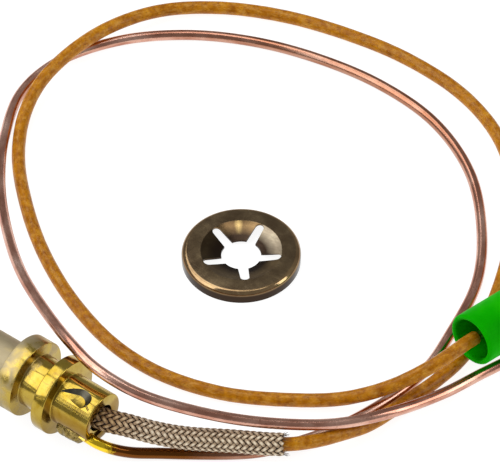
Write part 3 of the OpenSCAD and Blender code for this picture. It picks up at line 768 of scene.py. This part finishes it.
def drawProbe():
    p = probeSizes
    dome = [(p["radius"] * math.sin(a), p["tipX"] + p["radius"] * (1 - math.cos(a)))
            for a in np.linspace(p["openAngle"], math.pi / 2, 12)]
    inner = [(r * p["innerShare"], x + p["innerShift"]) for r, x in reversed(dome)]
    profile = dome + [(p["radius"], p["tailX"]), (p["radius"] - p["wall"], p["tailX"])] + inner
    finishPiece("drawnSheath", latheSolid(profile, 96), [tintedSheathFinish()], "thermocouple",
                ["probe_sheath"], smooth=30)
    bm = bmesh.new()
    bmesh.ops.create_icosphere(bm, subdivisions=4, radius=p["beadR"] * mm)
    for vert in bm.verts:
        vert.co = vert.co * (1 + p["beadLumps"] * noise.noise(vert.co * 2600))
        vert.co.x *= p["beadStretch"]
    bmesh.ops.translate(bm, verts=bm.verts, vec=(p["tipX"] * mm, 0, 0))
    weld = plainFinish("oxidisedWeld", (0.10, 0.09, 0.09), (0.30, 0.26, 0.25), 3.0, (0.35, 0.6), 1.0, 0.5,
                       depth=0.06, detail=5, spread=(0, 1))
    finishPiece("weldBead", bm, [weld], "thermocouple", ["tip_weld_bead"], smooth=60)
    radius, size, face = p["radius"], p["fillet"], headSizes["frontX"]
    fillet = [(radius, face + p["filletTuck"]), (radius + size, face)]
    fillet += [(radius + size * (1 - math.sin(a)), face - size * (1 - math.cos(a)))
               for a in np.linspace(0, math.pi / 2, 7)]
    bm = latheSolid(fillet, 96)
    for vert in bm.verts:
        vert.co.x -= p["filletLumps"] * mm * noise.noise(vert.co * 900)
    finishPiece("brazeFillet", bm, [braze], "thermocouple", ["sheath_braze_ring"], smooth=40)


drawProbe()
print("probe drawn")


# star washer, its axis upright; the stops are shares of a turn clockwise from -Y, one at each slot
washerSizes = {
    "centre": (7.45, 34.9), "radius": 7.6, "height": 1.7, "strip": 0.3, "shoulder": 0.7, "dishR": 5.2,
    "toothR": 2.55, "dishDepth": 0.9, "slotOuter": 1.15, "slotInner": 1.3, "slots": 5, "turn": 25,
    "cutEdge": 0.04, "tilt": (0.03, 0.0, -0.03, 0.05, -0.02), "bendR": 6.9, "bendBlend": 0.15,
    "dishBlend": (-0.08, 0.02), "shadeBelow": (0.6, 0.85), "glintStreak": (0.365, 0.385, 0.405),
    "wornTooth": (0.481, 0.681),
    "toothShading": [(0, (1, 1, 1)), (0.081, (0.35, 0.33, 0.3)), (0.281, (0.95, 0.85, 0.7)),
              (0.481, (2.0, 2.35, 3.0)), (0.681, (1.15, 1.1, 1.0)), (0.881, (1, 1, 1))],
}


def washerFinish():
    w = washerSizes
    black, white = (0, 0, 0), (1, 1, 1)
    material, tree, shader = startMaterial("darkBronze", metallic=1.0)
    place = objectSpace(tree, place=(-w["centre"][0], -w["centre"][1], -floorZ))
    cloud = noiseAt(tree, place, 0.45, 5, 0.6, 0.4)
    fine = noiseAt(tree, place, 4.0, 4, 0.6)
    scratch = noiseAt(tree, objectSpace(tree, (700, 5200, 3000), turn=(0, 0, 0.5)), 1.0, 3, 0.6, 0.3)
    body = rampOf(tree, cloud, [(0.3, (0.15, 0.10, 0.055)), (0.5, (0.20, 0.14, 0.078)),
                                (0.7, (0.26, 0.19, 0.105))])
    body = mixOf(tree, valueRange(tree, scratch, 0, 0.45, 0.6, 0.74), body, (0.38, 0.30, 0.20))
    # painted reflection and shade from tooth to tooth, inside the dish: one tooth dark, one bright and
    # silvery
    split = splitOf(tree, place)
    turn = valueRange(tree, mathOf(tree, "ARCTAN2", split["X"], split["Y"]), 0, 1, -math.pi, math.pi)
    flat = addNode(tree, "CombineXYZ", {"X": split["X"], "Y": split["Y"]})
    radius = addNode(tree, "VectorMath", {0: flat.outputs[0]}, operation="LENGTH").outputs["Value"]
    dished = valueRange(tree, radius, 1, 0, *(w["dishR"] + blend for blend in w["dishBlend"]))
    toothShading = rampOf(tree, turn, w["toothShading"], "CONSTANT")
    body = mixOf(tree, dished, body, mixOf(tree, 1.0, body, toothShading, "MULTIPLY"))
    # painted highlight: a golden radial glint on the top tooth
    glintStreak = rampOf(tree, turn, list(zip(w["glintStreak"], (black, white, black))))
    glintStreak = mixOf(tree, 1.0, glintStreak, dished, "MULTIPLY")
    body = mixOf(tree, glintStreak, body, (0.60, 0.42, 0.17))
    # painted highlight, brighter on the outer bend; painted shade, darker low down at the foot of the rim and
    # down the dished teeth
    bend = valueRange(tree, radius, 0, 1, w["bendR"], w["bendR"] + w["bendBlend"])
    body = mixOf(tree, bend, body, mixOf(tree, 1.0, body, (1.7, 1.6, 1.45), "MULTIPLY"))
    low = valueRange(tree, split["Z"], 1, 0, *(w["height"] * share for share in w["shadeBelow"]))
    body = mixOf(tree, low, body, (0.042, 0.027, 0.018))
    worn = rampOf(tree, turn, list(zip((0, *w["wornTooth"]), (black, white, black))), "CONSTANT")
    worn = mixOf(tree, 1.0, worn, dished, "MULTIPLY")
    roughness = mixOf(tree, worn, valueRange(tree, cloud, 0.14, 0.26, 0.3, 0.7),
                      valueRange(tree, scratch, 0.34, 0.55, 0.35, 0.65))
    joinUp(tree, shader, body, mixOf(tree, bend, roughness, (0.12, 0.12, 0.12)),
           bumpOf(tree, scratch, 0.1, 0.02, bumpOf(tree, fine, 0.04, 0.02)))
    return material


def slotCutter(turn):
    # one radial slot with a round outer end, turned to its place between two teeth
    w = washerSizes
    slot = bmesh.new()
    endR = w["dishR"] - w["slotOuter"] / 2
    outline = [(0, -w["slotInner"] / 2), (w["toothR"], -w["slotInner"] / 2), (endR, -w["slotOuter"] / 2)]
    outline += [(endR + w["slotOuter"] / 2 * math.cos(a), w["slotOuter"] / 2 * math.sin(a))
                for a in np.linspace(-math.pi / 2, math.pi / 2, 15)[1:-1]]
    outline += [(x, -y) for x, y in reversed(outline[:3])]
    face = slot.faces.new([slot.verts.new((x * mm, y * mm, -2 * mm)) for x, y in outline])
    raised = bmesh.ops.extrude_face_region(slot, geom=[face])
    bmesh.ops.translate(slot, verts=[g for g in raised["geom"] if isinstance(g, bmesh.types.BMVert)],
                        vec=(0, 0, 6 * mm))
    bmesh.ops.recalc_face_normals(slot, faces=slot.faces)
    bmesh.ops.rotate(slot, verts=slot.verts, cent=(0, 0, 0), matrix=Matrix.Rotation(turn, 3, "Z"))
    return scratchObject("washerSlot", slot)


def pressWasher():
    w = washerSizes
    flatR = w["radius"] - w["shoulder"]
    level = w["height"] - w["shoulder"]
    innerBend = w["shoulder"] - w["strip"]
    outer = [(flatR + w["shoulder"] * math.cos(a), level + w["shoulder"] * math.sin(a))
             for a in np.linspace(math.pi / 2, 0, 10)]
    inner = [(flatR + innerBend * math.cos(a), level + innerBend * math.sin(a))
             for a in np.linspace(0, math.pi / 2, 8)]
    dish = [(w["toothR"] + (w["dishR"] - w["toothR"]) * t, w["height"] - w["dishDepth"] * (1 - t) ** 0.92)
            for t in np.linspace(0, 1, 9)]
    under = [(r, z - w["strip"]) for r, z in reversed(dish)]
    profile = dish + outer + [(w["radius"], 0.0), (w["radius"] - w["strip"], 0.0)] + inner + under
    bm = latheSolid(profile, 160)
    # the lathe works on X; the washer stands on Z
    bmesh.ops.rotate(bm, verts=bm.verts, cent=(0, 0, 0), matrix=Matrix.Rotation(-math.pi / 2, 3, "Y"))
    bm = cutShape(bm, [slotCutter(2 * math.pi * i / w["slots"]) for i in range(w["slots"])])
    bmesh.ops.remove_doubles(bm, verts=bm.verts, dist=3e-7)
    for vert in bm.verts:
        r = math.hypot(vert.co.x, vert.co.y) / mm
        if r < w["dishR"]:
            turn = math.degrees(math.atan2(vert.co.y, vert.co.x)) % 360
            tooth = int(turn // (360 / w["slots"]))
            reach = (w["dishR"] - r) / (w["dishR"] - w["toothR"])
            vert.co.z += w["tilt"][tooth] * reach * mm
    bmesh.ops.recalc_face_normals(bm, faces=bm.faces)
    roundEdges(bm, w["cutEdge"], 2, 45)
    bmesh.ops.rotate(bm, verts=bm.verts, cent=(0, 0, 0),
                     matrix=Matrix.Rotation(math.radians(w["turn"]), 3, "Z"))
    bmesh.ops.translate(bm, verts=bm.verts, vec=Vector((*w["centre"], floorZ)) * mm)
    return finishPiece("starWasher", bm, [washerFinish()], "washer", ["star_washer"], smooth=15)


starWasher = pressWasher()
print("washer pressed", len(starWasher.data.polygons))


# green sleeve over the insulated lead's terminal
sleeveSizes = {"mouth": (41.22, 37.09, 0.15), "heading": (0.19552, 0.97759, -0.07821), "radius": 3.45,
               "wall": 0.7, "length": 21.0, "oval": 0.012, "ovalTurn": 0.6, "uneven": 0.014,
               "lumps": (0.16, 0.5)}


def sleeveFinish():
    material, tree, shader = startMaterial("softGreen", metallic=0.0, roughness=0.45, specular_ior_level=0.02,
                                           subsurface_weight=0.1, subsurface_scale=0.001)
    place = objectSpace(tree)
    cloud = noiseAt(tree, place, 0.25, 3, 0.5)
    fine = noiseAt(tree, place, 5.0, 3, 0.6)
    body = rampOf(tree, cloud, [(0.3, (0.002, 0.36, 0.0)), (0.55, (0.004, 0.43, 0.0)),
                                (0.75, (0.012, 0.50, 0.001))])
    joinUp(tree, shader, body, valueRange(tree, fine, 0.38, 0.52, 0.3, 0.7),
           bumpOf(tree, fine, 0.15, 0.04, bumpOf(tree, cloud, 0.1, 0.4)))
    return material


def mouldSleeve():
    g = sleeveSizes
    half = g["wall"] / 2
    middle = g["radius"] - half
    arc = np.linspace(0, math.pi, 11)
    lips = [(middle - half * math.cos(a), half * (1 - math.sin(a))) for a in arc]
    tail = [(middle + half * math.cos(a), g["length"] - half * (1 - math.sin(a))) for a in arc]
    rows = np.linspace(half, g["length"] - half, 40)[1:-1]
    outside = [(g["radius"], x) for x in rows]
    inside = [(g["radius"] - g["wall"], x) for x in rows[::-1]]
    bm = latheSolid(lips + outside + tail + inside, 96)
    for vert in bm.verts:
        turn = math.atan2(vert.co.z, vert.co.y)
        lump = noise.noise(lumpSpot(vert.co.x / mm, turn, g["lumps"]))
        change = 1 + g["oval"] * math.cos(2 * turn + g["ovalTurn"]) + g["uneven"] * lump
        vert.co.y *= change
        vert.co.z *= change
    heading = Vector(g["heading"]).normalized()
    side = Vector((0, 0, 1)).cross(heading).normalized()
    up = heading.cross(side)
    turnTo = Matrix((heading, side, up)).transposed().to_4x4()
    bmesh.ops.transform(bm, verts=bm.verts, matrix=Matrix.Translation(Vector(g["mouth"]) * mm) @ turnTo)
    return finishPiece("greenSleeve", bm, [sleeveFinish()], "sleeve", ["green_sleeve"],
                       smooth=50)


greenSleeve = mouldSleeve()
print("sleeve moulded", len(greenSleeve.data.polygons))


# the CAD pieces that show as they are, and how much their edges are softened, in millimetres
terminalStrip = plainFinish("stampedStrip", (0.56, 0.44, 0.20), (0.76, 0.66, 0.40), 1.4, (0.2, 0.36),
                            1.0, 0.15)
bareCopper = plainFinish("coreCopper", (0.72, 0.46, 0.20), (0.86, 0.66, 0.36), 2.0, (0.22, 0.36), 1.0, 0.1)
ceramic = plainFinish("unglazedCeramic", (0.78, 0.76, 0.70), (0.90, 0.88, 0.83), 3.0, (0.6, 0.8), 0.0, 0.3)
packing = plainFinish("wovenPacking", (0.05, 0.028, 0.012), (0.16, 0.10, 0.05), 4.0, (0.7, 0.9), 0.0, 0.8)
nickelWire = plainFinish("nickelWire", (0.48, 0.46, 0.42), (0.62, 0.60, 0.55), 2.0, (0.2, 0.35), 1.0, 0.1)
tinnedCrimp = plainFinish("tinnedCrimp", (0.62, 0.62, 0.60), (0.80, 0.80, 0.78), 2.0, (0.16, 0.3), 1.0, 0.15)
linerTube = plainFinish("linerTube", (0.74, 0.70, 0.58), (0.86, 0.82, 0.72), 1.0, (0.35, 0.5), 0.0, 0.1)
cadLooks = {
    "lead_terminal": (terminalStrip, 0.05), "copper_terminal": (terminalStrip, 0.05),
    "lead_core": (bareCopper, 0.08), "slot_braze": (braze, 0.04), "tip_insulator": (ceramic, 0),
    "barrel_insulator": (packing, 0), "rear_packing": (packing, 0), "element_wire": (nickelWire, 0),
    "junction_ferrule": (tinnedCrimp, 0), "junction_liner": (linerTube, 0),
}
for node, (material, width) in cadLooks.items():
    part = nodes[node]
    part.data.materials.clear()
    part.data.materials.append(material)
    if width:
        weld = part.modifiers.new("weld", "WELD")
        weld.merge_threshold = 1e-6
        soften = part.modifiers.new("soften", "BEVEL")
        soften.width = width * mm
        soften.segments = 2
        soften.limit_method = "ANGLE"
        soften.angle_limit = math.radians(35)
print("CAD pieces coloured", len(cadLooks))


# light and floor, in metres; each softbox is turned to the part from its heading
leftSide = {"heading": (-0.543, -0.285, 0.788), "distance": 0.50, "lengthwise": (0, 0.94, 0.34)}
studio = {
    "floorSize": 3.0, "floorGlow": 0.9, "roomStrength": 0.3, "aim": (0.01, 0.035, 0),
    "softboxes": {
        "panelUpper": {**leftSide, "shift": 0.2725, "size": (0.325, 0.36), "radiance": 2.0},
        "panelLower": {**leftSide, "shift": -0.1775, "size": (0.515, 0.36), "radiance": 2.4},
        "stripLower": {**leftSide, "shift": -0.56, "size": (0.025, 0.36), "radiance": 3.0},
        "panelRight": {"heading": (0.763, 0.38, 0.481), "distance": 0.50, "lengthwise": (0, 0.3, 1),
                       "shift": 0.0, "size": (0.45, 0.14), "radiance": 3.0},
        "stripTop": {"heading": (-0.06, 0.10, 1.0), "distance": 0.60, "lengthwise": (0.6, -0.8, 0),
                     "shift": 0.0, "size": (0.08, 0.34), "radiance": 2.4},
    },
}


def setStudio():
    bm = bmesh.new()
    bmesh.ops.create_grid(bm, x_segments=1, y_segments=1, size=studio["floorSize"] / 2,
                          matrix=Matrix.Translation((0, 0, floorZ * mm)))
    mesh = bpy.data.meshes.new("paleFloor")
    bm.to_mesh(mesh)
    bm.free()
    floor = bpy.data.objects.new("paleFloor", mesh)
    bpy.context.scene.collection.objects.link(floor)
    material, tree, shader = startMaterial("paleSheet", roughness=0.9, specular_ior_level=0.1)
    grain = noiseAt(tree, objectSpace(tree, (1, 1, 1)), 3.0, 2, 0.5)
    tree.links.new(rampOf(tree, grain, [(0.0, (0.24, 0.24, 0.24)), (1.0, (0.27, 0.27, 0.27))]),
                   shader.inputs["Base Color"])
    shader.inputs["Emission Color"].default_value = (1, 1, 1, 1)
    shader.inputs["Emission Strength"].default_value = studio["floorGlow"]
    mesh.materials.append(material)
    world = bpy.data.worlds.new("softRoom")
    bpy.context.scene.world = world
    world.use_nodes = True
    world.node_tree.nodes["Background"].inputs["Color"].default_value = (1, 1, 1, 1)
    world.node_tree.nodes["Background"].inputs["Strength"].default_value = studio["roomStrength"]
    for name, box in studio["softboxes"].items():
        heading, lengthwise = Vector(box["heading"]).normalized(), Vector(box["lengthwise"])
        data = bpy.data.lights.new(name, "AREA")
        data.shape = "RECTANGLE"
        data.size, data.size_y = box["size"]
        data.energy = box["radiance"] * math.pi * data.size * data.size_y
        light = bpy.data.objects.new(name, data)
        bpy.context.scene.collection.objects.link(light)
        across = (lengthwise - heading * heading.dot(lengthwise)).normalized()
        place = heading * box["distance"] + across * box["shift"] + Vector(studio["aim"])
        facing = Matrix((across, heading.cross(across), heading)).transposed().to_4x4()
        light.matrix_world = Matrix.Translation(place) @ facing
        light.visible_camera = False
    bpy.context.scene.view_settings.view_transform = "Standard"


setStudio()
print("studio lit", len(studio["softboxes"]))
